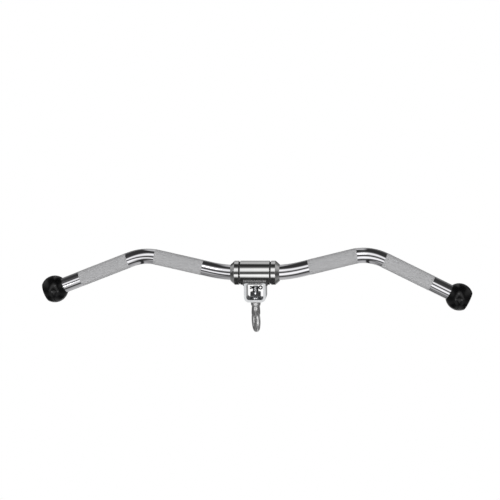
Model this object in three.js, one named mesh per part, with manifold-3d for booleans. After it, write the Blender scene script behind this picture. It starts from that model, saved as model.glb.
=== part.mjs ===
// Cambered cable bar with a revolving sleeve and a swivel eye, in millimetres, +Z up.
// The origin is the middle of the bar, on its axis inside the sleeve. +X runs along the bar to
// its steeper arm, the camber rises towards +Z, and the stirrup and eye hang towards -Z.
import * as THREE from "three";
import { mergeVertices } from "three/addons/utils/BufferGeometryUtils.js";
import Module from "manifold-3d";

const wasm = await Module();
wasm.setup();

// Bar: solid round steel, bent in one plane
const barDiameter = 25;
const centreBendRadius = 210;
const peakBendRadius = 78;
const leftInnerAngle = 13;
const leftInnerStraight = 90.2;
const leftOuterAngle = 21.1;
const leftOuterStraight = 146.3;
const rightInnerAngle = 13.9;
const rightInnerStraight = 84.7;
const rightOuterAngle = 26.7;
const rightOuterStraight = 142.6;

// Knurled grips: two raised bands a side with a plain stretch between them, whose middle lies
// outside the middle of the peak bend
const knurlRise = 0.3;
const innerKnurlLength = 81;
const outerKnurlLength = 86;
const knurlGap = 45;
const leftKnurlShift = 4.9;
const rightKnurlShift = 3.6;

// End caps: rubber balls with a flat each side
const capDiameter = 45;
const capInnerHalf = 17.7;
const capOuterHalf = 16.2;
const capBoreDepth = 25.5;

// Revolving sleeve, its bushes, and the collars that keep it in place
const sleeveDiameter = 39.5;
const sleeveLength = 48.8;
const bushWall = 2.5;
const bushLength = 20;
const thrustWasherThickness = 1.6;
const thrustWasherInset = 1.6;
const collarLength = 14;
const collarTaperLength = 6.6;
const collarLip = 1.3;
const setScrewDiameter = 6;
const setScrewInset = 0.8;
const socketWidth = 3;
const socketDepth = 3;

// Stirrup: closed frame, coped and welded under the sleeve
const stirrupWidth = 35.8;
const stirrupDepth = 32;
const stirrupWall = 4;
const stirrupHead = 5.8;
const stirrupBite = 10.2;
const stirrupCornerRadius = 8;
const windowCornerRadius = 4;
const stirrupEdge = 1;
const weldLeg = 3.4;
const weldRise = 0.9;

// Eye bolt and what holds it in the stirrup
const boltDiameter = 10;
const boltEndGap = 2.4;
const pinEdgeDistance = 2.6;
const pinRise = 7.2;
const nutHeight = 8;
const nutWidth = 17;
const washerDiameter = 20;
const washerThickness = 2.5;
const lowerWasherDiameter = 17.5;
const lowerWasherThickness = 1.5;
const shoulderDiameter = 16.4;
const shoulderHeight = 6.8;
const shoulderTaper = 1;
const neckDiameter = 13.5;
const neckHeight = 9.8;
const bossDiameter = 14.6;
const bossReach = 2;
const bossBoreGap = 1;
const eyeHoleDiameter = 20;
const eyeBand = 9.5;
const eyeThickness = 8.4;
const eyeEdge = 3;
const eyeTurn = -16.6;
const pinWire = 1.6;
const pinRingDiameter = 7.2;
const pinRingStandoff = 3.3;
const pinTailLength = 4.4;
const pinSplay = 0.9;

// Clearances: running fits turn, seats are fixed, and end play keeps faces apart
const runningFit = 0.08;
const seatGap = 0.15;
const endPlay = 0.2;
const chamfer = 0.5;
const overrun = 5;

// Counts
const roundSides = 36;
const smallSides = 20;
const bendStepDegrees = 4;
const capArcSteps = 10;
const cornerSteps = 4;
const edgeSteps = 2;
const wireSides = 10;
const tailSteps = 8;
const ringClearShare = 0.05;
const nutChamferShare = 0.8;

// Sizes that follow from the ones above
const barRadius = barDiameter / 2;
const sleeveRadius = sleeveDiameter / 2;
const sleeveHalf = sleeveLength / 2;
const collarStart = sleeveHalf + thrustWasherThickness + 2 * endPlay;
const stirrupTop = stirrupBite - sleeveRadius;
const boltEnd = -sleeveRadius - boltEndGap;
const pinHeight = boltEnd - pinEdgeDistance;
const nutTop = pinHeight - pinRise;
const nutBottom = nutTop - nutHeight;
const washerTop = nutBottom - endPlay;
const baseTop = washerTop - washerThickness - endPlay;
const stirrupBottom = baseTop - stirrupWall;
const lowerWasherTop = stirrupBottom - endPlay;
const shoulderTop = lowerWasherTop - lowerWasherThickness - endPlay;
const neckTop = shoulderTop - shoulderHeight;
const neckBottom = neckTop - neckHeight;
const pinHoleRadius = pinWire + seatGap;
const eyeRadius = eyeHoleDiameter / 2 + eyeBand;
const eyeCentre = neckBottom - eyeHoleDiameter / 2 - eyeBand / 2;

const radians = THREE.MathUtils.degToRad;

const chrome = metal(0xc9ccd0, 0.14);
const bronze = metal(0x9a7442, 0.4);
const zinc = metal(0x8d9093, 0.35);
const blackSteel = metal(0x1c1c1e, 0.45);
const blackRubber = plain(0x111112, 0.5);
const blackNylon = plain(0x161617, 0.6);

function metal(color, roughness) {
  return new THREE.MeshStandardMaterial({ color, roughness, metalness: 1 });
}

function plain(color, roughness) {
  return new THREE.MeshStandardMaterial({ color, roughness, metalness: 0 });
}

function solidOf(geometry) {
  const bare = geometry.clone();
  bare.deleteAttribute("normal");
  bare.deleteAttribute("uv");
  const merged = mergeVertices(bare, 1e-4);
  return new wasm.Manifold(
    new wasm.Mesh({
      numProp: 3,
      vertProperties: new Float32Array(merged.attributes.position.array),
      triVerts: new Uint32Array(merged.index.array),
    }),
  );
}

function geometryOf(solid) {
  const { vertProperties, triVerts } = solid.getMesh();
  const geometry = new THREE.BufferGeometry();
  geometry.setAttribute("position", new THREE.BufferAttribute(vertProperties, 3));
  geometry.setIndex(new THREE.BufferAttribute(triVerts, 1));
  return geometry;
}

function cut(body, ...tools) {
  return tools.reduce((rest, tool) => rest.subtract(solidOf(tool)), body);
}

function join(first, ...others) {
  return others.reduce((all, other) => all.add(solidOf(other)), solidOf(first));
}

function piece(name, shape, material) {
  const geometry = shape.isBufferGeometry ? shape : geometryOf(shape);
  geometry.computeVertexNormals();
  const mesh = new THREE.Mesh(geometry, material);
  mesh.name = name;
  return mesh;
}

// A turned solid along Z from [radius, height] points, outside upwards
function turned(points, sides = roundSides) {
  const profile = points.map(([radius, height]) => new THREE.Vector2(radius, height));
  return new THREE.LatheGeometry(profile, sides).rotateX(Math.PI / 2);
}

function turnedAlongX(points, sides = roundSides) {
  return turned(points, sides).rotateY(Math.PI / 2);
}

function rod(radius, from, to, sides = roundSides) {
  return turned([[0, from], [radius, from], [radius, to], [0, to]], sides);
}

function tube(inner, outer, from, to, edge) {
  return [
    [inner, from],
    [outer - edge, from],
    [outer, from + edge],
    [outer, to - edge],
    [outer - edge, to],
    [inner, to],
    [inner, from],
  ];
}

function roundedRectangle(path, left, bottom, right, top, radius) {
  path.moveTo(left + radius, bottom);
  path.lineTo(right - radius, bottom);
  path.absarc(right - radius, bottom + radius, radius, -Math.PI / 2, 0);
  path.lineTo(right, top - radius);
  path.absarc(right - radius, top - radius, radius, 0, Math.PI / 2);
  path.lineTo(left + radius, top);
  path.absarc(left + radius, top - radius, radius, Math.PI / 2, Math.PI);
  path.lineTo(left, bottom + radius);
  path.absarc(left + radius, bottom + radius, radius, Math.PI, 1.5 * Math.PI);
  return path;
}

// A plate drawn in X and Z, with its thickness centred on Y and its edges rounded
function plate(shape, thickness, edge, curveSegments) {
  return new THREE.ExtrudeGeometry(shape, {
    depth: thickness - 2 * edge,
    bevelThickness: edge,
    bevelSize: edge,
    bevelOffset: -edge,
    bevelSegments: edgeSteps,
    curveSegments,
  })
    .translate(0, 0, edge - thickness / 2)
    .rotateX(Math.PI / 2);
}

// The bar's centreline, met from the middle outwards on either side
const arms = {
  left: {
    innerAngle: radians(leftInnerAngle),
    innerStraight: leftInnerStraight,
    outerAngle: radians(leftOuterAngle),
    outerStraight: leftOuterStraight,
    knurlShift: leftKnurlShift,
    mirror: -1,
  },
  right: {
    innerAngle: radians(rightInnerAngle),
    innerStraight: rightInnerStraight,
    outerAngle: radians(rightOuterAngle),
    outerStraight: rightOuterStraight,
    knurlShift: rightKnurlShift,
    mirror: 1,
  },
};

function legsOf(side) {
  const { innerAngle, innerStraight, outerAngle, outerStraight } = arms[side];
  const peakTurn = innerAngle + outerAngle;
  return [
    { length: collarStart, turn: 0 },
    { length: centreBendRadius * innerAngle, turn: innerAngle },
    { length: innerStraight, turn: 0 },
    { length: peakBendRadius * peakTurn, turn: -peakTurn },
    { length: outerStraight, turn: 0 },
  ];
}

function lengthOf(side) {
  return legsOf(side).reduce((sum, leg) => sum + leg.length, 0);
}

function peakOf(side) {
  const [middle, bend, straight, peak] = legsOf(side);
  return middle.length + bend.length + straight.length + peak.length / 2;
}

function placeAt(side, distance) {
  const point = new THREE.Vector2();
  let angle = 0;
  let rest = distance;
  for (const { length, turn } of legsOf(side)) {
    const run = Math.min(rest, length);
    const swing = (turn * run) / length;
    const chord = turn === 0 ? run : (2 * Math.sin(swing / 2) * length) / turn;
    point.x += chord * Math.cos(angle + swing / 2);
    point.y += chord * Math.sin(angle + swing / 2);
    angle += swing;
    rest -= run;
  }
  return { point, angle };
}

// Distances at which a rod along one side needs a ring of points
function ringsBetween(side, from, to) {
  const rings = [from];
  let start = 0;
  for (const { length, turn } of legsOf(side)) {
    const steps = Math.max(1, Math.round(Math.abs(turn) / radians(bendStepDegrees)));
    for (let step = 1; step <= steps; step++) {
      const ring = start + (length * step) / steps;
      const clear = Math.min(ring - from, to - ring) > barRadius * ringClearShare;
      if (clear) rings.push(ring);
    }
    start += length;
  }
  rings.push(to);
  return rings;
}

// A path that passes through chosen rings, so that straight runs stay single faces
class RingPath extends THREE.Curve {
  constructor(rings) {
    super();
    this.rings = rings;
  }
  ringAt(share) {
    return this.rings[Math.round(share * (this.rings.length - 1))];
  }
  getPointAt(share) {
    return this.ringAt(share).point;
  }
  getTangentAt(share) {
    return this.ringAt(share).tangent;
  }
}

function ringOn(side, distance) {
  const { point, angle } = placeAt(side, distance);
  const { mirror } = arms[side];
  return {
    point: new THREE.Vector3(mirror * point.x, 0, point.y),
    tangent: new THREE.Vector3(Math.cos(angle), 0, mirror * Math.sin(angle)),
  };
}

function rodThrough(rings, radius) {
  const circle = new THREE.Shape().absarc(0, 0, radius, 0, 2 * Math.PI);
  return new THREE.ExtrudeGeometry(circle, {
    extrudePath: new RingPath(rings),
    steps: rings.length - 1,
    curveSegments: roundSides / 2,
  });
}

function rodOn(side, radius, from, to) {
  const rings = ringsBetween(side, from, to).map((distance) => ringOn(side, distance));
  return rodThrough(side === "left" ? rings.reverse() : rings, radius);
}

function barBody() {
  const rings = ["left", "right"].flatMap((side) => {
    const half = ringsBetween(side, 0, lengthOf(side)).map((distance) => ringOn(side, distance));
    return side === "left" ? half.reverse() : half.slice(1);
  });
  const knurls = ["left", "right"].flatMap((side) => {
    const plainMiddle = peakOf(side) + arms[side].knurlShift;
    const inner = plainMiddle - knurlGap / 2;
    const outer = plainMiddle + knurlGap / 2;
    return [
      rodOn(side, barRadius + knurlRise, inner - innerKnurlLength, inner),
      rodOn(side, barRadius + knurlRise, outer, outer + outerKnurlLength),
    ];
  });
  return join(rodThrough(rings, barRadius), ...knurls);
}

// A ball with a flat each side and a blind bore, standing on its inner flat
function endCap() {
  const capRadius = capDiameter / 2;
  const innerAngle = Math.asin(capInnerHalf / capRadius);
  const outerAngle = Math.asin(capOuterHalf / capRadius);
  const arc = Array.from({ length: capArcSteps + 1 }, (_, step) => {
    const angle = ((innerAngle + outerAngle) * step) / capArcSteps - innerAngle;
    return [capRadius * Math.cos(angle), capInnerHalf + capRadius * Math.sin(angle)];
  });
  const length = capInnerHalf + capOuterHalf;
  const bore = barRadius + seatGap;
  return turned([[0, capBoreDepth], [bore, capBoreDepth], [bore, 0], ...arc, [0, length]]);
}

function placedEndCap(side) {
  const { point, tangent } = ringOn(side, lengthOf(side) - capBoreDepth + seatGap);
  const cap = piece(`end_cap_${side}`, endCap(), blackRubber);
  cap.position.copy(point);
  const outward = side === "left" ? tangent.negate() : tangent;
  cap.quaternion.setFromUnitVectors(new THREE.Vector3(0, 0, 1), outward);
  return cap;
}

// A collar follows the bar's first bend, and its set screw goes in from the back
function collar(side) {
  const end = collarStart + collarLength;
  const shape = turnedAlongX([
    [0, collarStart],
    [sleeveRadius - chamfer, collarStart],
    [sleeveRadius, collarStart + chamfer],
    [sleeveRadius, end - collarTaperLength],
    [barRadius + collarLip, end],
    [0, end],
  ]);
  if (side === "left") shape.rotateZ(Math.PI);
  const bore = rodOn(side, barRadius + seatGap, 0, end + overrun);
  const screwHole = rod(setScrewDiameter / 2 + seatGap, 0, sleeveRadius + overrun, smallSides)
    .rotateX(-Math.PI / 2)
    .translate(screwPlace(side), 0, 0);
  return cut(solidOf(shape), bore, screwHole);
}

function screwPlace(side) {
  return arms[side].mirror * (collarStart + (collarLength - collarTaperLength) / 2);
}

function placedSetScrew(side) {
  const head = sleeveRadius - setScrewInset;
  const screw = rod(setScrewDiameter / 2, barRadius + 2 * endPlay, head, smallSides);
  const socket = hexagon(socketWidth, head - socketDepth, sleeveRadius);
  const placed = piece(`collar_set_screw_${side}`, cut(solidOf(screw), socket), blackSteel);
  placed.position.x = screwPlace(side);
  placed.rotation.x = -Math.PI / 2;
  return placed;
}

function hexagon(width, from, to) {
  return rod(width / Math.sqrt(3), from, to, 6);
}

function thrustWasher() {
  const start = sleeveHalf + endPlay;
  const inner = barRadius + endPlay;
  const outer = sleeveRadius - thrustWasherInset;
  return turnedAlongX(tube(inner, outer, start, start + thrustWasherThickness, 0));
}

function bush() {
  const inner = barRadius + runningFit;
  return turnedAlongX(tube(inner, inner + bushWall, sleeveHalf - bushLength, sleeveHalf, 0));
}

function sleeve() {
  const inner = barRadius + runningFit + bushWall + seatGap;
  return turnedAlongX(tube(inner, sleeveRadius, -sleeveHalf, sleeveHalf, chamfer));
}

function sleeveEnvelope(gap) {
  return rod(sleeveRadius + gap, -stirrupWidth, stirrupWidth).rotateY(Math.PI / 2);
}

function stirrup() {
  const half = stirrupWidth / 2;
  const outline = roundedBottom(new THREE.Shape(), half, stirrupBottom, stirrupTop, stirrupCornerRadius);
  const inside = half - stirrupWall;
  const window = [-inside, baseTop, inside, stirrupTop - stirrupHead, windowCornerRadius];
  outline.holes.push(roundedRectangle(new THREE.Path(), ...window));
  const frame = solidOf(plate(outline, stirrupDepth, stirrupEdge, cornerSteps));
  const swivelHole = rod(boltDiameter / 2 + runningFit, stirrupBottom - overrun, baseTop + overrun);
  return cut(frame, sleeveEnvelope(seatGap), swivelHole);
}

function roundedBottom(path, half, bottom, top, radius) {
  path.moveTo(-half + radius, bottom);
  path.lineTo(half - radius, bottom);
  path.absarc(half - radius, bottom + radius, radius, -Math.PI / 2, 0);
  path.lineTo(half, top);
  path.lineTo(-half, top);
  path.lineTo(-half, bottom + radius);
  path.absarc(-half + radius, bottom + radius, radius, Math.PI, 1.5 * Math.PI);
  return path;
}

function box(from, to) {
  const [width, depth, height] = to.map((high, axis) => high - from[axis]);
  const [x, y, z] = to.map((high, axis) => (high + from[axis]) / 2);
  return new THREE.BoxGeometry(width, depth, height).translate(x, y, z);
}

// One run of weld: along the back of the stirrup's top and round to the middle of each side
function weldRun() {
  const surface = sleeveRadius + seatGap;
  const side = stirrupWidth / 2 + seatGap;
  const face = stirrupDepth / 2 + seatGap;
  const cornerAngle = Math.asin(face / surface);
  const toeAngle = cornerAngle + weldLeg / surface;
  const corner = new THREE.Vector2(face, -surface * Math.cos(cornerAngle));
  const lowToe = new THREE.Vector2(face, corner.y - weldLeg);
  const highToe = new THREE.Vector2(surface * Math.sin(toeAngle), -surface * Math.cos(toeAngle));
  const bulge = lowToe.clone().lerp(highToe, 1 / 2);
  const outward = highToe.clone().sub(lowToe).normalize().multiplyScalar(weldRise);
  bulge.add(new THREE.Vector2(outward.y, -outward.x));
  const inside = new THREE.Vector2(0, corner.y);
  const section = new THREE.Shape([inside, lowToe, bulge, highToe]);
  const length = 2 * side + weldLeg;
  const back = new THREE.ExtrudeGeometry(section, { depth: length, bevelEnabled: false })
    .translate(0, 0, -length / 2)
    .rotateX(Math.PI / 2)
    .rotateZ(Math.PI / 2);
  const fillet = [
    [surface, side],
    [surface + weldLeg, side],
    [surface, side + weldLeg],
    [surface, side],
  ];
  const reach = side + weldLeg;
  const below = -surface - weldLeg;
  const sideRun = box([-reach, seatGap, below], [reach, highToe.x, highToe.y]);
  const fillets = join(turnedAlongX(fillet), turnedAlongX(fillet).rotateZ(Math.PI));
  const block = box([-side, -face, stirrupBottom], [side, face, 0]);
  return cut(
    solidOf(back).add(fillets.intersect(solidOf(sideRun))),
    sleeveEnvelope(seatGap),
    block,
  );
}

function washer(diameter, from, to) {
  return turned(tube(boltDiameter / 2 + seatGap, diameter / 2, from, to, 0));
}

function nut() {
  const corner = nutWidth / Math.sqrt(3);
  const flat = nutWidth / 2;
  const rise = (corner - flat) * nutChamferShare;
  const ends = turned([
    [0, nutBottom],
    [flat, nutBottom],
    [corner, nutBottom + rise],
    [corner, nutTop - rise],
    [flat, nutTop],
    [0, nutTop],
  ]);
  const blank = solidOf(hexagon(nutWidth, nutBottom, nutTop)).intersect(solidOf(ends));
  const bore = rod(boltDiameter / 2 + seatGap, nutBottom - overrun, nutTop + overrun);
  return cut(blank, bore);
}

// Shank, shoulder and neck are turned, and the eye is a plate with rounded edges. The neck
// widens into a boss, which the eye's hole runs through
function eyeBolt() {
  const boltRadius = boltDiameter / 2;
  const shoulderRadius = shoulderDiameter / 2;
  const neckRadius = neckDiameter / 2;
  const bossRadius = bossDiameter / 2;
  const bossBottom = eyeCentre + eyeHoleDiameter / 2 - bossReach;
  const stem = turned([
    [0, bossBottom],
    [bossRadius, bossBottom],
    [bossRadius, neckBottom],
    [neckRadius, neckTop - shoulderTaper],
    [neckRadius - shoulderTaper / 2, neckTop],
    [shoulderRadius - shoulderTaper, neckTop + shoulderTaper],
    [shoulderRadius, shoulderTop - shoulderTaper],
    [shoulderRadius, shoulderTop],
    [boltRadius, shoulderTop],
    [boltRadius, boltEnd - chamfer],
    [boltRadius - chamfer, boltEnd],
    [0, boltEnd],
  ]);
  const ring = new THREE.Shape().absarc(0, eyeCentre, eyeRadius, 0, 2 * Math.PI);
  ring.holes.push(new THREE.Path().absarc(0, eyeCentre, eyeHoleDiameter / 2, 0, 2 * Math.PI));
  const turn = radians(90 - eyeTurn);
  const eye = plate(ring, eyeThickness, eyeEdge, roundSides / 2).rotateZ(turn);
  const bore = rod(eyeHoleDiameter / 2 + bossBoreGap, -bossDiameter, bossDiameter)
    .rotateX(Math.PI / 2)
    .translate(0, 0, eyeCentre)
    .rotateZ(turn);
  const pinHole = rod(pinHoleRadius, -boltDiameter, boltDiameter, smallSides)
    .rotateY(Math.PI / 2)
    .translate(0, 0, pinHeight);
  return cut(solidOf(stem), bore, pinHole).add(solidOf(eye));
}

// A split pin: a ring outside the bolt, and two legs through it that spread past its far side
function cotterPin() {
  const wire = pinWire / 2;
  const boltRadius = boltDiameter / 2;
  const ring = new THREE.TorusGeometry(pinRingDiameter / 2 - wire, wire, wireSides, smallSides)
    .rotateX(Math.PI / 2)
    .translate(boltRadius + pinRingStandoff, 0, pinHeight);
  const legs = [1, -1].map((way) => {
    const near = way * (wire + seatGap / 2);
    const far = near + way * pinSplay;
    const path = new THREE.CatmullRomCurve3([
      new THREE.Vector3(boltRadius + wire, 0, pinHeight + near),
      new THREE.Vector3(0, 0, pinHeight + near),
      new THREE.Vector3(-boltRadius, 0, pinHeight + near),
      new THREE.Vector3(-boltRadius - pinTailLength, 0, pinHeight + far),
    ]);
    const circle = new THREE.Shape().absarc(0, 0, wire, 0, 2 * Math.PI);
    return new THREE.ExtrudeGeometry(circle, {
      extrudePath: path,
      steps: tailSteps,
      curveSegments: wireSides / 2,
    });
  });
  return join(ring, ...legs);
}

const bar = new THREE.Group();
bar.add(piece("bar", barBody(), chrome));
const revolving = new THREE.Group();
revolving.add(piece("sleeve", sleeve(), chrome));
for (const side of ["left", "right"]) {
  const { mirror } = arms[side];
  const turnRound = ((1 - mirror) / 2) * Math.PI;
  const ownWasher = piece(`thrust_washer_${side}`, thrustWasher(), blackNylon);
  const ownBush = piece(`sleeve_bush_${side}`, bush(), bronze);
  ownWasher.rotation.z = turnRound;
  ownBush.rotation.z = turnRound;
  bar.add(placedEndCap(side), piece(`collar_${side}`, collar(side), chrome));
  bar.add(placedSetScrew(side), ownWasher);
  revolving.add(ownBush);
}

const frontBead = piece("weld_bead_front", weldRun(), chrome);
frontBead.rotation.z = Math.PI;
revolving.add(piece("stirrup", stirrup(), chrome), frontBead);
revolving.add(piece("weld_bead_back", weldRun(), chrome));

const swivel = new THREE.Group();
const upperWasher = washer(washerDiameter, washerTop - washerThickness, washerTop);
const lowerWasherBottom = lowerWasherTop - lowerWasherThickness;
const lowerWasher = washer(lowerWasherDiameter, lowerWasherBottom, lowerWasherTop);
swivel.add(piece("eye_bolt", eyeBolt(), chrome), piece("swivel_nut", nut(), zinc));
swivel.add(piece("nut_washer", upperWasher, zinc), piece("shoulder_washer", lowerWasher, bronze));
swivel.add(piece("cotter_pin", cotterPin(), zinc));

const cableBar = new THREE.Group();
cableBar.add(bar, revolving, swivel);

export default cableBar;
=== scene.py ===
import math
import bpy
from mathutils import Matrix, Quaternion, Vector


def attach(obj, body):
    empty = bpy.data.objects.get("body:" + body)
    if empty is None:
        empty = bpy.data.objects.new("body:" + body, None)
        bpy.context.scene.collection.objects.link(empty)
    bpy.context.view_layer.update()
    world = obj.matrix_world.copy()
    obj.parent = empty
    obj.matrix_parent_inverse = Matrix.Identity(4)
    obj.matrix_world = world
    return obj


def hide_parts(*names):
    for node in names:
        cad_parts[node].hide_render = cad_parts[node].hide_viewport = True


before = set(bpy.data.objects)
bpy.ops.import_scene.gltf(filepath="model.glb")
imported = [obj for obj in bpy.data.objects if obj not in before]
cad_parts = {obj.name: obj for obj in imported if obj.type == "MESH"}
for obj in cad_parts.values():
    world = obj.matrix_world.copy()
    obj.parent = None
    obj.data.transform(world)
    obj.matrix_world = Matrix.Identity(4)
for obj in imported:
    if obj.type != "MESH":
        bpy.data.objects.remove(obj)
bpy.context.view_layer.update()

mm = 0.001  # the pieces' sizes are in millimetres, and their angles in degrees
mergeReach = 0.000001  # points this close become one, in metres
slack = 0.00001  # places this close are taken to be the same, in metres
past = 1  # how far a cutting tool reaches past a surface, in millimetres
firstColour, secondColour, mixedColour = 6, 7, 2  # a Mix node's sockets for colours


# Everyday steps

def selectOnly(*items):
    bpy.ops.object.select_all(action="DESELECT")
    for item in items:
        item.select_set(True)
    bpy.context.view_layer.objects.active = items[-1]


def startEdit(piece, kind="VERT"):
    selectOnly(piece)
    bpy.ops.object.mode_set(mode="EDIT")
    bpy.ops.mesh.select_mode(type=kind)
    bpy.ops.mesh.select_all(action="DESELECT")


# Into edit mode with the faces or edges that the mesh already has selected
def startKeeping(piece, kind):
    part = "polygons" if kind == "FACE" else "edges"
    picked = [item.select for item in getattr(piece.data, part)]
    startEdit(piece, kind)
    endEdit()
    getattr(piece.data, part).foreach_set("select", picked)
    bpy.ops.object.mode_set(mode="EDIT")


def endEdit():
    bpy.ops.object.mode_set(mode="OBJECT")


def recalculateNormals(piece):
    startEdit(piece)
    bpy.ops.mesh.select_all(action="SELECT")
    bpy.ops.mesh.normals_make_consistent(inside=False)
    endEdit()


def useModifier(piece, kind, **values):
    selectOnly(piece)
    modifier = piece.modifiers.new(kind.lower(), kind)
    for name, value in values.items():
        setattr(modifier, name, value)
    bpy.ops.object.modifier_apply(modifier=modifier.name)


def combine(piece, tool, operation):
    useModifier(piece, "BOOLEAN", object=tool, operation=operation, solver="EXACT")
    bpy.data.objects.remove(tool)


def settle(piece, place=None):
    if place:
        piece.matrix_world = place
    selectOnly(piece)
    bpy.ops.object.transform_apply(location=True, rotation=True, scale=True)


def joined(pieces):
    selectOnly(*pieces)
    bpy.ops.object.join()
    return bpy.context.object


def copied(piece):
    selectOnly(piece)
    bpy.ops.object.duplicate()
    return bpy.context.object


def placed(piece, name, body, node, finish, smoothAngle=32):
    piece.name = piece.data.name = name
    if finish:
        piece.data.materials.clear()
        piece.data.materials.append(finished[finish])
    selectOnly(piece)
    bpy.ops.object.shade_smooth_by_angle(angle=math.radians(smoothAngle))
    useModifier(piece, "WEIGHTED_NORMAL", keep_sharp=True)
    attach(piece, body)
    if node:
        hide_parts(node)
    return piece


# A corner with a third value is rounded to that radius
def roundedProfile(corners, steps=5, closed=True):
    points = []
    for index, corner in enumerate(corners):
        here = Vector(corner[:2])
        radius = corner[2] if len(corner) > 2 else 0
        if not radius or (not closed and index in (0, len(corners) - 1)):
            points.append(here)
            continue
        before = (Vector(corners[index - 1][:2]) - here).normalized()
        after = (Vector(corners[(index + 1) % len(corners)][:2]) - here).normalized()
        half = before.angle(after) / 2
        reach = radius / math.tan(half)
        middle = here + (before + after).normalized() * radius / math.sin(half)
        start, end = here + before * reach - middle, here + after * reach - middle
        points += [middle + radius * start.slerp(end, step / steps)
                   for step in range(steps + 1)]
    return points


# One point, extruded from corner to corner in the plane of X and Z
def drawn(points):
    bpy.ops.object.select_all(action="DESELECT")
    bpy.ops.mesh.primitive_plane_add(size=mm)
    bpy.ops.object.mode_set(mode="EDIT")
    bpy.ops.mesh.select_mode(type="VERT")
    bpy.ops.mesh.merge(type="CENTER")
    bpy.ops.transform.translate(value=(points[0][0] * mm, 0, points[0][1] * mm))
    for start, end in zip(points, points[1:]):
        step = ((end[0] - start[0]) * mm, 0, (end[1] - start[1]) * mm)
        bpy.ops.mesh.extrude_vertices_move(TRANSFORM_OT_translate={"value": step})
    bpy.ops.mesh.select_all(action="SELECT")
    return bpy.context.object


def turned(points, sides=96, closed=False):
    piece = drawn(points + [points[0]] if closed else points)
    bpy.ops.mesh.spin(steps=sides, angle=2 * math.pi, center=(0, 0, 0), axis=(0, 0, 1))
    bpy.ops.mesh.select_all(action="SELECT")
    bpy.ops.mesh.remove_doubles(threshold=mergeReach)
    bpy.ops.mesh.normals_make_consistent(inside=False)
    endEdit()
    return piece


def cylinder(radius, length, centre, along=(0, 0, 1), sides=96):
    bpy.ops.object.select_all(action="DESELECT")
    bpy.ops.mesh.primitive_cylinder_add(vertices=sides, radius=radius * mm, depth=length * mm)
    turn = Vector(along).to_track_quat("Z", "Y").to_matrix().to_4x4()
    settle(bpy.context.object, Matrix.Translation(Vector(centre) * mm) @ turn)
    return bpy.context.object


# A ring about Z with its outer edges rounded
def tube(bore, radius, start, end, edge, sides=96, steps=5):
    corners = [(bore, start), (radius, start, edge), (radius, end, edge), (bore, end)]
    return turned(roundedProfile(corners, steps), sides, closed=True)


def block(low, high):
    bpy.ops.object.select_all(action="DESELECT")
    bpy.ops.mesh.primitive_cube_add(size=1)
    piece = bpy.context.object
    piece.scale = (Vector(high) - Vector(low)) * mm
    piece.location = (Vector(high) + Vector(low)) * mm / 2
    settle(piece)
    return piece


def grey(level):
    return level, level, level, 1


alongX = Matrix.Rotation(math.pi / 2, 4, "Y")
halfTurn = Matrix.Rotation(math.pi, 4, "Z")
mirrorX = Matrix.Scale(-1, 4, (1, 0, 0))


# Camera, lamps and surroundings

camera = {"distance": 2.35, "azimuth": 5, "elevation": 10.3, "roll": -0.896, "lens": 102.7,
          "shiftX": -0.0106, "shiftY": 0.0454, "sensor": 36, "near": 0.05, "far": 50}


def direction(azimuth, elevation):
    a, e = math.radians(azimuth), math.radians(elevation)
    return Vector((math.sin(a) * math.cos(e), -math.cos(a) * math.cos(e), math.sin(e)))


def lookingBack(name, data, values, roll=0):
    holder = bpy.data.objects.new(name, data)
    bpy.context.scene.collection.objects.link(holder)
    back = direction(values["azimuth"], values["elevation"])
    holder.location = back * values["distance"]
    holder.rotation_mode = "QUATERNION"
    turn = Quaternion((0, 0, 1), math.radians(roll))
    holder.rotation_quaternion = back.to_track_quat("Z", "Y") @ turn
    return holder


cameraData = bpy.data.cameras.new("camera")
cameraData.lens, cameraData.sensor_width = camera["lens"], camera["sensor"]
cameraData.shift_x, cameraData.shift_y = camera["shiftX"], camera["shiftY"]
cameraData.clip_start, cameraData.clip_end = camera["near"], camera["far"]
bpy.context.scene.camera = lookingBack("camera", cameraData, camera, camera["roll"])

lamps = {
    "upper": {"azimuth": 4, "elevation": 36, "distance": 2.2, "size": 0.3, "power": 1.1},
    "lower_left": {"azimuth": -23, "elevation": -15, "distance": 2.2, "size": 0.3, "power": 1.1},
    "lower_right": {"azimuth": 29, "elevation": -15, "distance": 2.2, "size": 0.3, "power": 1.1},
}
for name, lamp in lamps.items():
    lampData = bpy.data.lights.new(name, "AREA")
    lampData.shape, lampData.size, lampData.energy = "DISK", lamp["size"], lamp["power"]
    lookingBack(name, lampData, lamp).visible_camera = False

# How bright metal sees its surroundings, by height above the horizon in degrees: straight in
# front, around that, at the sides and behind
surroundings = {
    "front": [(-90, 0.52), (-80, 0.5), (-72, 0.34), (-65, 0.1), (-60, 0.03), (-54, 0.05),
              (-50, 0.1), (-46, 0.26), (-42, 0.5), (-38, 0.8), (-34, 1.12), (-28, 1.25),
              (-18, 1.3), (-9, 1.0), (-5, 0.7), (-1, 0.3), (3, 0.06), (14, 0.05), (20, 0.36),
              (29, 0.95), (35, 1.15), (49, 1.1), (55, 0.6), (60, 0.22), (67, 0.1), (73, 0.04),
              (90, 0.03)],
    "around": [(-90, 0.52), (-76, 0.4), (-62, 0.05), (-50, 0.03), (-38, 0.2), (-28, 0.3),
               (-10, 0.06), (14, 0.05), (26, 0.2), (38, 0.2), (48, 0.05), (90, 0.03)],
    "sides": [(-90, 0.3), (-35, 0.26), (-23, 0.16), (-12, 0.08), (0, 0.09), (8, 0.14),
              (14, 0.28), (20, 0.36), (26, 0.46), (90, 0.46)],
    "behind": [(-90, 0.56), (-60, 0.58), (-30, 0.55), (-8, 0.3), (0, 0.1), (14, 0.12),
               (24, 0.38), (34, 0.46), (48, 0.58), (64, 0.6), (74, 0.5), (80, 0.36), (86, 0.14),
               (90, 0.06)],
}

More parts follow.
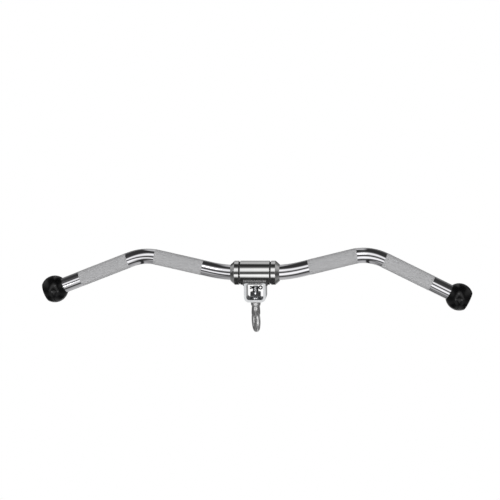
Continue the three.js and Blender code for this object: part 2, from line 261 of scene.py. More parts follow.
# The bands in front bend: the upper ones drop towards the sides, by radians for X squared, and
# the lowest edge rises, by radians for X past leanFrom. Two strips at stripAcross in X, a dark
# one on the ground and a pale one behind and above, are what the sleeve's underside and top see
studio = {"brightest": 2, "plainLight": 0.9, "groundLight": 0.03, "bend": 2.8, "lean": 2.6,
          "leanFrom": 0.03, "stripAcross": -0.086}

# Where each of these starts and where it is full, in the part of the direction that it follows
fades = {"bend": (-0.3, 0), "lean": (-0.1, -0.45), "leanFoot": (-0.95, -0.75),
         "around": (-0.84, -0.6), "sides": (0.62, 0.8), "behind": (0.84, 0.97),
         "belowSky": (0.3, 0.1), "skyStrip": (0.17, 0.06), "groundStrip": (0.042, 0.02),
         "groundInFront": (-0.6, -0.75), "groundBehind": (0.1, -0.1), "farSide": (0.3, 0.6)}


def makeWorld():
    world = bpy.data.worlds.new("studio")
    bpy.context.scene.world = world
    world.use_nodes = True
    nodes, links = world.node_tree.nodes, world.node_tree.links
    nodes.clear()

    def calculate(operation, *values):
        node = nodes.new("ShaderNodeMath")
        node.operation = operation
        for value, socket in zip(values, node.inputs):
            links.new(value, socket)
        return node.outputs[0]

    def times(first, second):
        return calculate("MULTIPLY", first, second)

    def constant(number):
        node = nodes.new("ShaderNodeValue")
        node.outputs[0].default_value = number
        return node.outputs[0]

    def fade(value, part):
        node = nodes.new("ShaderNodeMapRange")
        node.interpolation_type = "SMOOTHSTEP"
        for end, place in zip(("From Min", "From Max"), fades[part]):
            node.inputs[end].default_value = place
        links.new(value, node.inputs["Value"])
        return node.outputs["Result"]

    def bands(height, part):
        levels = surroundings[part]
        share = nodes.new("ShaderNodeMapRange")
        share.inputs["From Min"].default_value = -math.pi / 2
        share.inputs["From Max"].default_value = math.pi / 2
        links.new(height, share.inputs["Value"])
        ramp = nodes.new("ShaderNodeValToRGB")
        links.new(share.outputs["Result"], ramp.inputs["Fac"])
        stops = ramp.color_ramp.elements
        stops[0].position = (levels[0][0] + 90) / 180
        for degrees, level in levels[1:-1]:
            stops.new((degrees + 90) / 180)
        for stop, (degrees, level) in zip(stops, levels):
            stop.color = grey(level / studio["brightest"])
        return ramp.outputs["Color"]

    def mixed(share, first, second):
        node = nodes.new("ShaderNodeMix")
        node.data_type = "RGBA"
        links.new(share, node.inputs["Factor"])
        links.new(first, node.inputs[firstColour])
        links.new(second, node.inputs[secondColour])
        return node.outputs[mixedColour]

    def light(strength, colour=None):
        node = nodes.new("ShaderNodeBackground")
        node.inputs["Strength"].default_value = strength
        node.inputs["Color"].default_value = grey(1)
        if colour:
            links.new(colour, node.inputs["Color"])
        return node.outputs[0]

    def either(share, first, second):
        node = nodes.new("ShaderNodeMixShader")
        links.new(share, node.inputs["Fac"])
        links.new(first, node.inputs[1])
        links.new(second, node.inputs[2])
        return node.outputs[0]

    place = nodes.new("ShaderNodeTexCoord")
    split = nodes.new("ShaderNodeSeparateXYZ")
    links.new(place.outputs["Generated"], split.inputs[0])
    x, y, z = split.outputs
    height = calculate("ARCSINE", z)
    away = calculate("DIVIDE", y, calculate("COSINE", height))
    sideways = calculate("ABSOLUTE", x)
    aside = calculate("ABSOLUTE", calculate("SUBTRACT", x, constant(studio["stripAcross"])))

    # What stands in front, bent
    drop = times(times(times(sideways, sideways), constant(studio["bend"])), fade(z, "bend"))
    tilt = calculate("SUBTRACT", sideways, constant(studio["leanFrom"]))
    tilt = times(calculate("MAXIMUM", tilt, constant(0)), constant(studio["lean"]))
    rise = times(tilt, times(fade(z, "lean"), fade(z, "leanFoot")))
    bent = calculate("SUBTRACT", calculate("ADD", height, drop), rise)
    mirrored = bands(bent, "front")

    # What stands round it and behind
    mirrored = mixed(fade(away, "around"), mirrored, bands(height, "around"))
    mirrored = mixed(fade(sideways, "sides"), mirrored, bands(height, "sides"))
    pale = calculate("MAXIMUM", fade(z, "belowSky"), fade(aside, "skyStrip"))
    mirrored = mixed(times(fade(away, "behind"), pale), mirrored, bands(height, "behind"))

    # The dark strip on the ground, and what matt surfaces and the camera see in place of it all
    ground = times(fade(y, "farSide"), fade(z, "groundBehind"))
    strip = times(fade(aside, "groundStrip"),
                  calculate("MAXIMUM", fade(z, "groundInFront"), ground))
    reflected = either(strip, light(studio["brightest"], mirrored), light(studio["groundLight"]))
    ray = nodes.new("ShaderNodeLightPath")
    lit = either(ray.outputs["Is Diffuse Ray"], reflected, light(studio["plainLight"]))
    output = nodes.new("ShaderNodeOutputWorld")
    links.new(either(ray.outputs["Is Camera Ray"], lit, light(1)), output.inputs["Surface"])


makeWorld()
bpy.context.scene.view_settings.view_transform = "Standard"
print("camera, lamps and surroundings are set")


# Finishes

mottle = {"detail": 4, "roughness": 0.6, "low": 0.3, "high": 0.7}


def makeUnevenness():
    group = bpy.data.node_groups.new("unevenness", "ShaderNodeTree")
    for label in ("Scale", "Low", "High"):
        group.interface.new_socket(label, in_out="INPUT", socket_type="NodeSocketFloat")
    group.interface.new_socket("Value", in_out="OUTPUT", socket_type="NodeSocketFloat")
    nodes, links = group.nodes, group.links
    given = nodes.new("NodeGroupInput")
    place = nodes.new("ShaderNodeTexCoord")
    noise = nodes.new("ShaderNodeTexNoise")
    noise.inputs["Detail"].default_value = mottle["detail"]
    noise.inputs["Roughness"].default_value = mottle["roughness"]
    spread = nodes.new("ShaderNodeMapRange")
    spread.inputs["From Min"].default_value = mottle["low"]
    spread.inputs["From Max"].default_value = mottle["high"]
    result = nodes.new("NodeGroupOutput")
    links.new(place.outputs["Object"], noise.inputs["Vector"])
    links.new(given.outputs["Scale"], noise.inputs["Scale"])
    links.new(noise.outputs["Fac"], spread.inputs["Value"])
    links.new(given.outputs["Low"], spread.inputs["To Min"])
    links.new(given.outputs["High"], spread.inputs["To Max"])
    links.new(spread.outputs["Result"], result.inputs["Value"])
    return group


unevenness = makeUnevenness()


# Colour runs from dark to light in patches, and roughness between its two values in others. The
# patches' sizes, and the grain's height and size, are in millimetres
finishes = {
    "chrome": {"dark": (0.73, 0.725, 0.75), "light": (0.81, 0.805, 0.83), "patch": 30,
               "roughness": (0.04, 0.08), "wear": 12, "grain": 0.004, "grainSize": 9},
    "knurled_chrome": {"dark": (0.77, 0.77, 0.78), "light": (0.83, 0.83, 0.84), "patch": 3,
                       "roughness": (0.64, 0.72), "wear": 2, "grain": 0.003, "grainSize": 1,
                       "metallic": 0.8},
    "forged_chrome": {"dark": (0.84, 0.84, 0.84), "light": (0.9, 0.9, 0.9), "patch": 12,
                      "roughness": (0.3, 0.36), "wear": 12, "grain": 0.001, "grainSize": 6},
    "turned_chrome": {"dark": (0.7, 0.7, 0.7), "light": (0.78, 0.78, 0.77), "patch": 30,
                      "roughness": (0.05, 0.08), "wear": 12, "grain": 0.003, "grainSize": 9},
    "satin_chrome": {"dark": (0.58, 0.59, 0.6), "light": (0.66, 0.67, 0.68), "patch": 12,
                     "roughness": (0.13, 0.2), "wear": 5, "grain": 0.008, "grainSize": 2},
    # The weld's dark finish also stands as painted shade on the stirrup's brow below the weld
    # beads
    "weld_and_shade_chrome": {"dark": (0.26, 0.26, 0.26), "light": (0.4, 0.4, 0.4), "patch": 2,
                    "roughness": (0.3, 0.45), "wear": 1.5, "grain": 0.06, "grainSize": 0.8},
    "zinc": {"dark": (0.6, 0.61, 0.63), "light": (0.74, 0.75, 0.77), "patch": 3,
             "roughness": (0.1, 0.17), "wear": 2, "grain": 0.006, "grainSize": 0.8},
    "dark_zinc": {"dark": (0.04, 0.04, 0.045), "light": (0.08, 0.08, 0.085), "patch": 2,
                  "roughness": (0.24, 0.36), "wear": 1.5, "grain": 0.004, "grainSize": 0.6},
    "black_steel": {"dark": (0.03, 0.03, 0.033), "light": (0.07, 0.07, 0.075), "patch": 1.5,
                    "roughness": (0.35, 0.5), "wear": 1, "grain": 0.01, "grainSize": 0.4},
    "bronze": {"dark": (0.36, 0.24, 0.12), "light": (0.5, 0.36, 0.19), "patch": 2,
               "roughness": (0.35, 0.55), "wear": 1, "grain": 0.01, "grainSize": 0.5},
    "black_rubber": {"dark": (0.002, 0.002, 0.0023), "light": (0.004, 0.004, 0.0044),
                     "patch": 8, "roughness": (0.18, 0.22), "wear": 3, "grain": 0.006,
                     "grainSize": 0.7, "metallic": 0, "specular": 0.4},
    "black_nylon": {"dark": (0.012, 0.012, 0.013), "light": (0.022, 0.022, 0.023), "patch": 4,
                    "roughness": (0.5, 0.65), "wear": 2, "grain": 0.01, "grainSize": 0.6,
                    "metallic": 0, "specular": 0.4},
}


def makeFinish(name, dark, light, patch, roughness, wear, grain, grainSize, metallic=1,
               specular=0.5):
    material = bpy.data.materials.new(name)
    material.use_nodes = True
    nodes, links = material.node_tree.nodes, material.node_tree.links
    shader = nodes["Principled BSDF"]
    shader.inputs["Metallic"].default_value = metallic
    shader.inputs["Specular IOR Level"].default_value = specular

    def uneven(size, low, high):
        node = nodes.new("ShaderNodeGroup")
        node.node_tree = unevenness
        node.inputs["Scale"].default_value = 1 / (size * mm)
        node.inputs["Low"].default_value = low
        node.inputs["High"].default_value = high
        return node.outputs["Value"]

    colour = nodes.new("ShaderNodeMix")
    colour.data_type = "RGBA"
    colour.inputs[firstColour].default_value = (*dark, 1)
    colour.inputs[secondColour].default_value = (*light, 1)
    links.new(uneven(patch, 0, 1), colour.inputs["Factor"])
    links.new(colour.outputs[mixedColour], shader.inputs["Base Color"])
    links.new(uneven(wear, *roughness), shader.inputs["Roughness"])
    bump = nodes.new("ShaderNodeBump")
    bump.inputs["Strength"].default_value = 1
    bump.inputs["Distance"].default_value = grain * mm
    links.new(uneven(grainSize, 0, 1), bump.inputs["Height"])
    links.new(bump.outputs["Normal"], shader.inputs["Normal"])
    return material


finished = {name: makeFinish(name, **values) for name, values in finishes.items()}
print("finishes are made")


# Bar: modelled straight along X with its knurls raised, then bent along its centreline

bar = {"radius": 12.5, "sides": 64, "rowLength": 4, "middle": 26.4, "centreBend": 210,
       "peakBend": 78, "innerKnurl": 81, "outerKnurl": 86, "knurlGap": 45,
       "knurlCell": 1.9, "knurlRise": 0.3, "lineStep": 2}
arms = {
    "left": {"innerAngle": 13, "innerStraight": 90.2, "outerAngle": 21.1, "outerStraight": 146.3,
             "knurlShift": 4.9, "way": -1},
    "right": {"innerAngle": 13.9, "innerStraight": 84.7, "outerAngle": 26.7,
              "outerStraight": 142.6, "knurlShift": 3.6, "way": 1},
}


def legsOf(arm):
    inner, outer = math.radians(arm["innerAngle"]), math.radians(arm["outerAngle"])
    return [(bar["middle"], 0), (bar["centreBend"] * inner, inner), (arm["innerStraight"], 0),
            (bar["peakBend"] * (inner + outer), -inner - outer), (arm["outerStraight"], 0)]


def lengthOf(arm):
    return sum(length for length, turn in legsOf(arm))


def peakOf(arm):
    return sum(length for length, turn in legsOf(arm)[:3]) + legsOf(arm)[3][0] / 2


# The centreline's point and outward direction at a distance from the middle
def placeAt(arm, distance):
    point, angle, rest = Vector((0, 0, 0)), 0, distance
    for length, turn in legsOf(arm):
        run = min(rest, length)
        swing = turn * run / length
        chord = 2 * math.sin(swing / 2) * length / turn if turn else run
        point += Vector((math.cos(angle + swing / 2), 0, math.sin(angle + swing / 2))) * chord
        angle += swing
        rest -= run
    heading = Vector((math.cos(angle), 0, math.sin(angle)))
    for vector in (point, heading):
        vector.x *= arm["way"]
    return point * mm, heading


def makeCentreline():
    left, right = lengthOf(arms["left"]), lengthOf(arms["right"])
    count = round((left + right) / bar["lineStep"])
    data = bpy.data.curves.new("centreline", "CURVE")
    data.dimensions, data.twist_mode = "3D", "Z_UP"
    spline = data.splines.new("POLY")
    spline.points.add(count)
    for index, point in enumerate(spline.points):
        distance = (left + right) * index / count - left
        arm = arms["left" if distance < 0 else "right"]
        point.co = (*placeAt(arm, abs(distance))[0], 1)
    line = bpy.data.objects.new("centreline", data)
    bpy.context.scene.collection.objects.link(line)
    return line


def knurlBands():
    left = lengthOf(arms["left"])
    bands = []
    for arm in arms.values():
        middle = peakOf(arm) + arm["knurlShift"]
        inner, outer = middle - bar["knurlGap"] / 2, middle + bar["knurlGap"] / 2
        for start, end in ((inner - bar["innerKnurl"], inner), (outer, outer + bar["outerKnurl"])):
            bands.append(sorted((left + arm["way"] * start, left + arm["way"] * end)))
    return sorted(bands)


def makeBar():
    total = lengthOf(arms["left"]) + lengthOf(arms["right"])
    bands = knurlBands()
    edges = [0] + [edge for band in bands for edge in band] + [total]
    rows = []
    for index, (start, end) in enumerate(zip(edges, edges[1:])):
        step = bar["knurlCell"] if index % 2 else bar["rowLength"]
        count = max(1, round((end - start) / step))
        rows += [(end - start) / count] * count
    bpy.ops.object.select_all(action="DESELECT")
    bpy.ops.mesh.primitive_circle_add(vertices=bar["sides"], radius=bar["radius"] * mm)
    piece = bpy.context.object
    settle(piece, alongX)
    bpy.ops.object.mode_set(mode="EDIT")
    bpy.ops.mesh.select_mode(type="EDGE")
    bpy.ops.mesh.select_all(action="SELECT")
    for row in rows:
        bpy.ops.mesh.extrude_edges_move(TRANSFORM_OT_translate={"value": (row * mm, 0, 0)})
    bpy.ops.mesh.select_all(action="DESELECT")
    bpy.ops.mesh.select_non_manifold(extend=False)
    bpy.ops.mesh.edge_face_add()
    bpy.ops.mesh.select_all(action="SELECT")
    bpy.ops.mesh.normals_make_consistent(inside=False)
    endEdit()

    # Every cell of a knurled band gets a point in its middle, and the cells' own edges go, which
    # leaves diamonds, and each diamond is raised to a point
    def inBand(x):
        return any(low * mm < x < high * mm for low, high in bands)

    for face in piece.data.polygons:
        face.select = inBand(face.center.x)
    before = len(piece.data.vertices)
    startKeeping(piece, "FACE")
    bpy.ops.mesh.poke()
    endEdit()
    ends = [edge * mm for edge in edges]
    points = piece.data.vertices
    for edge in piece.data.edges:
        first, second = (points[index].co for index in edge.vertices)
        middle = (first.x + second.x) / 2
        own = max(edge.vertices) < before
        inside = inBand(middle) and min(abs(middle - end) for end in ends) > slack
        edge.select = own and inside
    startKeeping(piece, "EDGE")
    bpy.ops.mesh.dissolve_edges(use_verts=False)
    endEdit()
    for finish in ("chrome", "knurled_chrome"):
        piece.data.materials.append(finished[finish])
    for face in piece.data.polygons:
        face.select = inBand(face.center.x)
        face.material_index = int(face.select)
    startKeeping(piece, "FACE")
    bpy.ops.mesh.poke(offset=bar["knurlRise"] * mm)
    endEdit()
    line = makeCentreline()
    useModifier(piece, "CURVE", object=line, deform_axis="POS_X")
    bpy.data.objects.remove(line)
    return piece


barPiece = makeBar()
placed(barPiece, "bar_knurled", "handle", "bar", None)
print("bar is bent", len(barPiece.data.polygons), "faces")


# End caps: rubber balls with a flat each side, pushed on over the bar's ends

endCap = {"radius": 22.46, "inner": 17.7, "outer": 16.2, "bore": 12.65, "boreDepth": 25.5,
          "seat": 0.15, "lip": 0.5, "edge": 1, "arcSteps": 30}


def endCapProfile():
    radius, inner = endCap["radius"], endCap["inner"]
    lowest, highest = -math.asin(inner / radius), math.asin(endCap["outer"] / radius)
    arc = []
    for step in range(endCap["arcSteps"] + 1):
        angle = lowest + (highest - lowest) * step / endCap["arcSteps"]
        edge = endCap["edge"] if step == endCap["arcSteps"] else 0
        arc.append((radius * math.cos(angle), inner + radius * math.sin(angle), edge))
    bore, depth = endCap["bore"], endCap["boreDepth"]
    corners = [(0, depth), (bore, depth), (bore, 0, endCap["lip"]), *arc,
               (0, inner + endCap["outer"])]
    return roundedProfile(corners, closed=False)


ballEnd = turned(endCapProfile(), sides=80)
for side, arm in arms.items():
    cap = copied(ballEnd)
    point, heading = placeAt(arm, lengthOf(arm) - endCap["boreDepth"] + endCap["seat"])
    settle(cap, Matrix.Translation(point) @ heading.to_track_quat("Z", "Y").to_matrix().to_4x4())
    placed(cap, f"ball_end_{side}", "handle", f"end_cap_{side}",
           "black_rubber")
bpy.data.objects.remove(ballEnd)
print("end caps are on")


# Collars with their set screws, and the thrust washers beside them

collar = {"start": 26.4, "end": 40.4, "radius": 19.75, "taper": 6.6, "lip": 1.3, "bore": 12.65,
          "edge": 0.5}
setScrew = {"place": 30.1, "foot": 12.9, "head": 18.95, "radius": 3, "edge": 0.3, "sides": 40,
            "socketWidth": 3, "socketDepth": 3, "hole": 3.15, "holeCut": 16}
thrustWasher = {"bore": 12.7, "radius": 18.15, "start": 24.6, "end": 26.2, "edge": 0.2}


def makeCollar():
    start, end, radius = collar["start"], collar["end"], collar["radius"]
    bore, edge = collar["bore"], collar["edge"]
    piece = turned(roundedProfile([
        (bore, start), (radius, start, edge), (radius, end - collar["taper"], edge),
        (bar["radius"] + collar["lip"], end, edge / 2), (bore, end),
    ]), closed=True)
    settle(piece, alongX)

    # The bar bends inside the collar, so the far end of its bore is raised with the bar
    rise = (end - start) ** 2 / (2 * bar["centreBend"])
    for point in piece.data.vertices:
        atBore = math.hypot(point.co.y, point.co.z) < bore * mm + slack
        if atBore and point.co.x > end * mm - slack:
            point.co.z += rise * mm
    hole = cylinder(setScrew["hole"], setScrew["holeCut"], (setScrew["place"], radius, 0),
                    (0, 1, 0), setScrew["sides"])
    combine(piece, hole, "DIFFERENCE")
    return piece


def makeSetScrew():
    foot, head = setScrew["foot"], setScrew["head"]
    radius, edge = setScrew["radius"], setScrew["edge"]
    corners = [(0, foot), (radius, foot, edge), (radius, head, edge), (0, head)]
    piece = turned(roundedProfile(corners, closed=False), setScrew["sides"])
    socket = cylinder(setScrew["socketWidth"] / math.sqrt(3), 2 * setScrew["socketDepth"],
                      (0, 0, head), sides=6)
    combine(piece, socket, "DIFFERENCE")
    settle(piece, Matrix.Translation((setScrew["place"] * mm, 0, 0))
           @ Matrix.Rotation(-math.pi / 2, 4, "X"))
    return piece


def makeThrustWasher():
    piece = tube(**thrustWasher)
    settle(piece, alongX)
    return piece


# Both screws come from the back, so the left one is shifted and not turned
shiftX = Matrix.Translation((-2 * setScrew["place"] * mm, 0, 0))
for make, name, node, slot, finish, toLeft in (
    (makeCollar, "stop_collar", "collar", "chrome", "turned_chrome", mirrorX),
    (makeSetScrew, "set_screw", "collar_set_screw", "black_steel", "black_steel", shiftX),
    (makeThrustWasher, "spacer_ring", "thrust_washer", "black_nylon", "black_nylon", halfTurn),
):
    right = make()
    left = copied(right)
    settle(left, toLeft)
    if toLeft.is_negative:
        recalculateNormals(left)
    placed(left, f"{name}_left", "handle", f"{node}_left", finish)
    placed(right, f"{name}_right", "handle", f"{node}_right", finish)
print("collars are on")


# Sleeve and stirrup

sleeve = {"bore": 15.23, "radius": 19.75, "start": -24.4, "end": 24.4, "edge": 0.6,
          "sides": 128}
# welded: how far down from the top the brow takes the weld's dark finish, which below the beads is
# painted shade
stirrup = {"half": 17.9, "depth": 32, "wall": 4, "brow": 5.8, "top": -9.55, "bottom": -46.85,
           "corner": 8, "windowCorner": 4, "edge": 1.2, "seat": 0.1, "seatCut": 100,
           "hole": 5.1, "holeCut": 20, "welded": 6.1}


def makeSleeve():
    piece = tube(**sleeve)
    settle(piece, alongX)
    return piece


# Rounds the edges along Y that are no higher than the given height
def bevelAlongY(piece, highest, radius, segments):
    points = piece.data.vertices
    for edge in piece.data.edges:
        first, second = (points[index].co for index in edge.vertices)
        edge.select = abs(first.y - second.y) > slack and first.z < highest * mm + slack
    startKeeping(piece, "EDGE")
    bpy.ops.mesh.bevel(offset=radius * mm, segments=segments, affect="EDGES")
    endEdit()


def makeStirrup():
    half, depth, wall = stirrup["half"], stirrup["depth"], stirrup["wall"]
    top, bottom = stirrup["top"], stirrup["bottom"]
    piece = block((-half, -depth / 2, bottom), (half, depth / 2, top))
    bevelAlongY(piece, bottom, stirrup["corner"], segments=10)
    windowTop = top - stirrup["brow"]
    window = block((-half + wall, -depth, bottom + wall), (half - wall, depth, windowTop))
    bevelAlongY(window, windowTop, stirrup["windowCorner"], segments=8)
    seat = cylinder(sleeve["radius"] + stirrup["seat"], stirrup["seatCut"], (0, 0, 0), (1, 0, 0),
                    sleeve["sides"])
    hole = cylinder(stirrup["hole"], stirrup["holeCut"], (0, 0, bottom), sides=64)
    for tool in (window, seat, hole):
        combine(piece, tool, "DIFFERENCE")
    useModifier(piece, "BEVEL", width=stirrup["edge"] * mm, segments=4, limit_method="ANGLE",
                angle_limit=math.radians(50), miter_outer="MITER_ARC")

    # Round the brow, down past the window's top, it has the weld's dark finish: the weld's own
    # colour where the beads sit on it, and below them painted shade along the window's top edge
    # and its underside
    for finish in ("satin_chrome", "weld_and_shade_chrome"):
        piece.data.materials.append(finished[finish])
    for face in piece.data.polygons:
        face.material_index = int(face.center.z > (top - stirrup["welded"]) * mm)
    return piece


placed(makeSleeve(), "swivel_sleeve", "revolving_centre", "sleeve", "turned_chrome")
placed(makeStirrup(), "welded_stirrup", "revolving_centre", "stirrup", None)


# Weld: drops laid side by side and run together, along the front and round both sides. Their
# tilt and size waver from drop to drop, at the beats given in radians

weld = {"step": 2.5, "long": 3.5, "across": 1.9, "proud": 1.9, "voxel": 0.32, "smooth": 4}
frontDrops = {"out": 0.35, "below": 0.4, "tilt": 15, "tiltSpread": 5, "tiltBeat": 7,
              "swell": 0.1, "swellBeat": 3.7}
sideDrops = {"out": 0.5, "shorter": 0.8, "swell": 0.12, "swellBeat": 2.9}


def weldDrop(place, turn, size):
    bpy.ops.object.select_all(action="DESELECT")
    bpy.ops.mesh.primitive_uv_sphere_add(segments=20, ring_count=12, radius=mm)
    drop = bpy.context.object
    settle(drop, Matrix.LocRotScale(Vector(place) * mm, turn.to_quaternion(), Vector(size)))
    return drop


def makeWeld():
    radius, face, side = sleeve["radius"], stirrup["depth"] / 2, stirrup["half"]
    step, long, across, proud = (weld[part] for part in ("step", "long", "across", "proud"))
    corner = math.asin(face / radius)
    drops = []
    count = round(2 * side / step)
    for index in range(count + 1):
        place = (-side + 2 * side * index / count, -face - frontDrops["out"],
                 -radius * math.cos(corner) - frontDrops["below"])
        spread = frontDrops["tiltSpread"] * math.sin(frontDrops["tiltBeat"] * index)
        tilt = Matrix.Rotation(math.radians(frontDrops["tilt"] + spread), 3, "X")
        swell = 1 + frontDrops["swell"] * math.sin(frontDrops["swellBeat"] * index)
        drops.append(weldDrop(place, tilt, (across, proud * swell, long)))
    count = round(radius * corner / step)
    out = sideDrops["out"]
    for way in (-1, 1):
        for index in range(count):
            angle = corner * index / count
            place = (way * (side + out), -(radius + out) * math.sin(angle),
                     -(radius + out) * math.cos(angle))
            turn = Matrix.Rotation(-angle, 3, "X") @ Matrix.Rotation(way * math.pi / 4, 3, "Y")
            swell = 1 + sideDrops["swell"] * math.sin(sideDrops["swellBeat"] * index + way)
            size = (proud * swell, across, long * sideDrops["shorter"])
            drops.append(weldDrop(place, turn, size))
    piece = joined(drops)
    useModifier(piece, "REMESH", mode="VOXEL", voxel_size=weld["voxel"] * mm)
    useModifier(piece, "SMOOTH", factor=0.5, iterations=weld["smooth"])
    return piece


frontWeld = makeWeld()
backWeld = copied(frontWeld)
settle(backWeld, halfTurn)
for end, piece in (("front", frontWeld), ("back", backWeld)):
    placed(piece, f"weld_{end}", "revolving_centre", f"weld_bead_{end}",
           "weld_and_shade_chrome", smoothAngle=60)
print("sleeve and stirrup are welded")


# Eye bolt: a turned stem run into a ring, and a threaded shank

eye = {"centre": -80.1, "hole": 10, "band": 9.5, "thickness": 8.4, "edge": 3.6, "turn": -16.6,
       "voxel": 0.4, "smooth": 30}
stem = {"boss": 7.3, "bossBottom": -72.1, "bossEdge": 1.5, "bossBore": 10.6, "boreCut": 40,
        "flare": 6, "neck": 6.75, "neckBottom": -65.35, "neckTop": -55.55, "waist": 6.25,
        "waistTall": 1.5, "waistEdge": 0.5, "slope": 0.6, "shoulder": 8.2,
        "shoulderTop": -48.75, "rim": 1, "rimEdge": 0.6, "topEdge": 0.3, "shaft": 5, "top": -33}
thread = {"pitch": 1.5, "minor": 4.1, "major": 4.95, "from": -33.9, "to": -22.15, "turns": 12,
          "root": 0.12, "crest": 0.06, "steps": 40, "bevel": 0.8}
pinHole = {"radius": 1.75, "height": -24.75, "cut": 20}


def makeRing():
    inner, outer = eye["hole"], eye["hole"] + eye["band"]
    half, edge = eye["thickness"] / 2, eye["edge"]
    ring = turned(roundedProfile([(inner, -half, edge), (outer, -half, edge), (outer, half, edge),
                                  (inner, half, edge)]), sides=120, closed=True)
    turn = Matrix.Rotation(math.radians(90 - eye["turn"]), 4, "Z")
    upright = Matrix.Rotation(math.pi / 2, 4, "X")
    settle(ring, Matrix.Translation((0, 0, eye["centre"] * mm)) @ turn @ upright)
    return ring


def makeStem():
    boss, neckTop, waistEdge = stem["boss"], stem["neckTop"], stem["waistEdge"]
    shoulder, shoulderTop, slope = stem["shoulder"], stem["shoulderTop"], stem["slope"]
    piece = turned(roundedProfile([
        (0, stem["bossBottom"]), (boss, stem["bossBottom"], stem["bossEdge"]),
        (boss, stem["neckBottom"], stem["flare"]),
        (stem["neck"], neckTop - stem["waistTall"], waistEdge),
        (stem["waist"], neckTop, waistEdge), (shoulder - slope, neckTop + slope, waistEdge),
        (shoulder, shoulderTop - stem["rim"], stem["rimEdge"]),
        (shoulder, shoulderTop, stem["topEdge"]), (stem["shaft"], shoulderTop),
        (stem["shaft"], stem["top"]), (0, stem["top"]),
    ], closed=False))
    turn = -math.radians(eye["turn"])
    bore = cylinder(stem["bossBore"], stem["boreCut"], (0, 0, eye["centre"]),
                    (math.cos(turn), math.sin(turn), 0))
    combine(piece, bore, "DIFFERENCE")
    return piece


def makeEye():
    piece = joined([makeRing(), makeStem()])
    useModifier(piece, "REMESH", mode="VOXEL", voxel_size=eye["voxel"] * mm)
    useModifier(piece, "SMOOTH", factor=0.5, iterations=eye["smooth"])
    return piece


def makeThread():
    pitch, minor, major = thread["pitch"], thread["minor"], thread["major"]
    bottom, top, bevel = thread["from"], thread["to"], thread["bevel"]
    foot = (bottom + top - pitch * (thread["turns"] + 1)) / 2
    shares = [(minor, 0), (minor, thread["root"]), (major, 0.5 - thread["crest"]),
              (major, 0.5 + thread["crest"]), (minor, 1 - thread["root"]), (minor, 1)]
    piece = drawn([(radius, foot + pitch * share) for radius, share in shares])
    endEdit()
    useModifier(piece, "SCREW", axis="Z", screw_offset=pitch * mm, iterations=thread["turns"],
                steps=thread["steps"], render_steps=thread["steps"], use_merge_vertices=True,
                merge_threshold=mergeReach)
    startEdit(piece)
    bpy.ops.mesh.select_all(action="SELECT")
    bpy.ops.mesh.remove_doubles(threshold=mergeReach)
    bpy.ops.mesh.select_all(action="DESELECT")
    bpy.ops.mesh.select_non_manifold(extend=False)
    bpy.ops.mesh.fill()
    endEdit()
    recalculateNormals(piece)
    shaft = stem["shaft"]
    blank = turned([(0, bottom), (shaft, bottom), (shaft, top - bevel), (shaft - bevel, top),
                    (0, top)], sides=64)
    combine(piece, blank, "INTERSECT")
    hole = cylinder(pinHole["radius"], pinHole["cut"], (0, 0, pinHole["height"]), (1, 0, 0), 32)
    combine(piece, hole, "DIFFERENCE")
    return piece


placed(makeEye(), "swivel_eye", "swivel_eye", "eye_bolt", "forged_chrome",
       smoothAngle=60)
placed(makeThread(), "bolt_thread", "swivel_eye", None, "satin_chrome", smoothAngle=40)
print("eye bolt is in")


# Nut, washers and split pin

nut = {"bottom": -39.95, "top": -31.95, "width": 17, "bore": 5.0, "upperChamfer": 3,
       "lowerChamfer": 1.2, "spare": 0.05, "sink": 0.7, "edge": 0.4}
nutWasher = {"bore": 5.2, "radius": 10, "start": -42.65, "end": -40.15, "edge": 0.35}
shoulderWasher = {"bore": 5.2, "radius": 8.75, "start": -48.55, "end": -47.05, "edge": 0.2}
pin = {"height": -24.75, "wire": 1.05, "gap": 0.87, "ring": 2.65, "ringPlace": 8.3,
       "ringSteps": 16, "hole": 5, "tail": 4.3, "splay": 0.9, "midSplay": 0.4}


def makeNut():
    bottom, top, flat = nut["bottom"], nut["top"], nut["width"] / 2
    corner = nut["width"] / math.sqrt(3)
    piece = cylinder(corner, top - bottom, (0, 0, (top + bottom) / 2), sides=6)
    wide = corner + nut["spare"]
    ends = turned([(0, bottom), (flat, bottom), (wide, bottom + nut["lowerChamfer"]),
                   (wide, top - nut["upperChamfer"]), (flat, top), (0, top)])
    combine(piece, ends, "INTERSECT")
    bore, sink = nut["bore"], nut["sink"]
    mouth = bore + sink + past
    spool = turned([(0, bottom - past), (mouth, bottom - past), (bore, bottom + sink),
                    (bore, top - sink), (mouth, top + past), (0, top + past)], sides=64)
    combine(piece, spool, "DIFFERENCE")
    useModifier(piece, "BEVEL", width=nut["edge"] * mm, segments=4, limit_method="ANGLE",
                angle_limit=math.radians(28))
    return piece


# The wire's line: out along the upper leg, round the ring and back along the lower leg
def pinRoute():
    gap, ring, place = pin["gap"], pin["ring"], pin["ringPlace"]
    hole, tail, splay = pin["hole"], pin["tail"], pin["splay"]
    meet = math.asin(gap / ring)
    angles = [meet + (2 * math.pi - 2 * meet) * step / pin["ringSteps"]
              for step in range(pin["ringSteps"] + 1)]
    loop = [(place - ring * math.cos(angle), ring * math.sin(angle)) for angle in angles]
    upper = [(-hole - tail, gap + splay), (-hole - tail / 2, gap + splay * pin["midSplay"]),
             (-hole, gap), (-hole / 2, gap), (0, gap), (hole / 2, gap), (hole, gap)]
    return upper + loop + [(x, -z) for x, z in reversed(upper)]


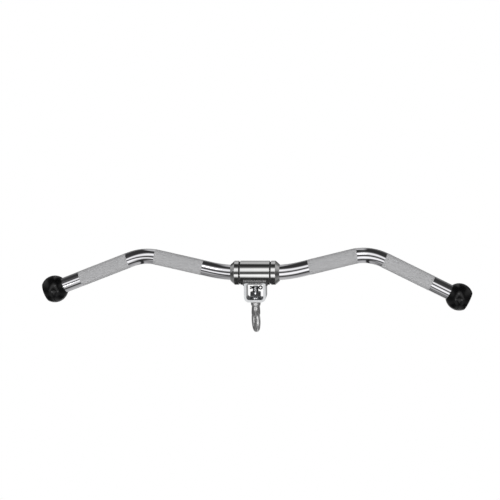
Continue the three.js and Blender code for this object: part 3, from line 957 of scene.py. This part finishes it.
def makePin():
    data = bpy.data.curves.new("split_pin", "CURVE")
    data.dimensions = "3D"
    data.bevel_depth, data.bevel_resolution, data.use_fill_caps = pin["wire"] * mm, 4, True
    spline = data.splines.new("NURBS")
    route = pinRoute()
    spline.points.add(len(route) - 1)
    for point, (x, z) in zip(spline.points, route):
        point.co = (x * mm, 0, (pin["height"] + z) * mm, 1)
    spline.order_u, spline.use_endpoint_u, spline.resolution_u = 3, True, 4
    piece = bpy.data.objects.new("split_pin", data)
    bpy.context.scene.collection.objects.link(piece)
    selectOnly(piece)
    bpy.ops.object.convert(target="MESH")
    return bpy.context.object


placed(makeNut(), "lock_nut", "swivel_eye", "swivel_nut", "zinc")
for name, slot, washer in (("nut_washer", "zinc", nutWasher),
                           ("shoulder_washer", "bronze", shoulderWasher)):
    placed(tube(**washer, steps=3), f"{name}_ring", "swivel_eye", name, slot)
placed(makePin(), "split_pin", "swivel_eye", "cotter_pin", "dark_zinc", smoothAngle=45)
print("nut, washers and pin are on")

# The bushes inside the sleeve keep their own shape
for side in arms:
    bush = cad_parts[f"sleeve_bush_{side}"]
    bush.data.materials.clear()
    bush.data.materials.append(finished["bronze"])


# Floor

floor = {"height": -950, "radius": 450, "thickness": 4, "grey": 0.5}


# Matt grey for the light that falls on it, and white to the camera
def makePaleFinish():
    material = bpy.data.materials.new("pale_floor")
    material.use_nodes = True
    nodes, links = material.node_tree.nodes, material.node_tree.links
    matt = nodes["Principled BSDF"]
    matt.inputs["Base Color"].default_value = grey(floor["grey"])
    glow = nodes.new("ShaderNodeEmission")
    ray = nodes.new("ShaderNodeLightPath")
    pick = nodes.new("ShaderNodeMixShader")
    links.new(ray.outputs["Is Camera Ray"], pick.inputs["Fac"])
    links.new(matt.outputs[0], pick.inputs[1])
    links.new(glow.outputs[0], pick.inputs[2])
    links.new(pick.outputs[0], nodes["Material Output"].inputs["Surface"])
    return material


thickness = floor["thickness"]
disc = cylinder(floor["radius"], thickness, (0, 0, floor["height"] - thickness / 2))
disc.name = "floor"
disc.data.materials.append(makePaleFinish())
disc.visible_glossy = False  # metal mirrors the surroundings in its place
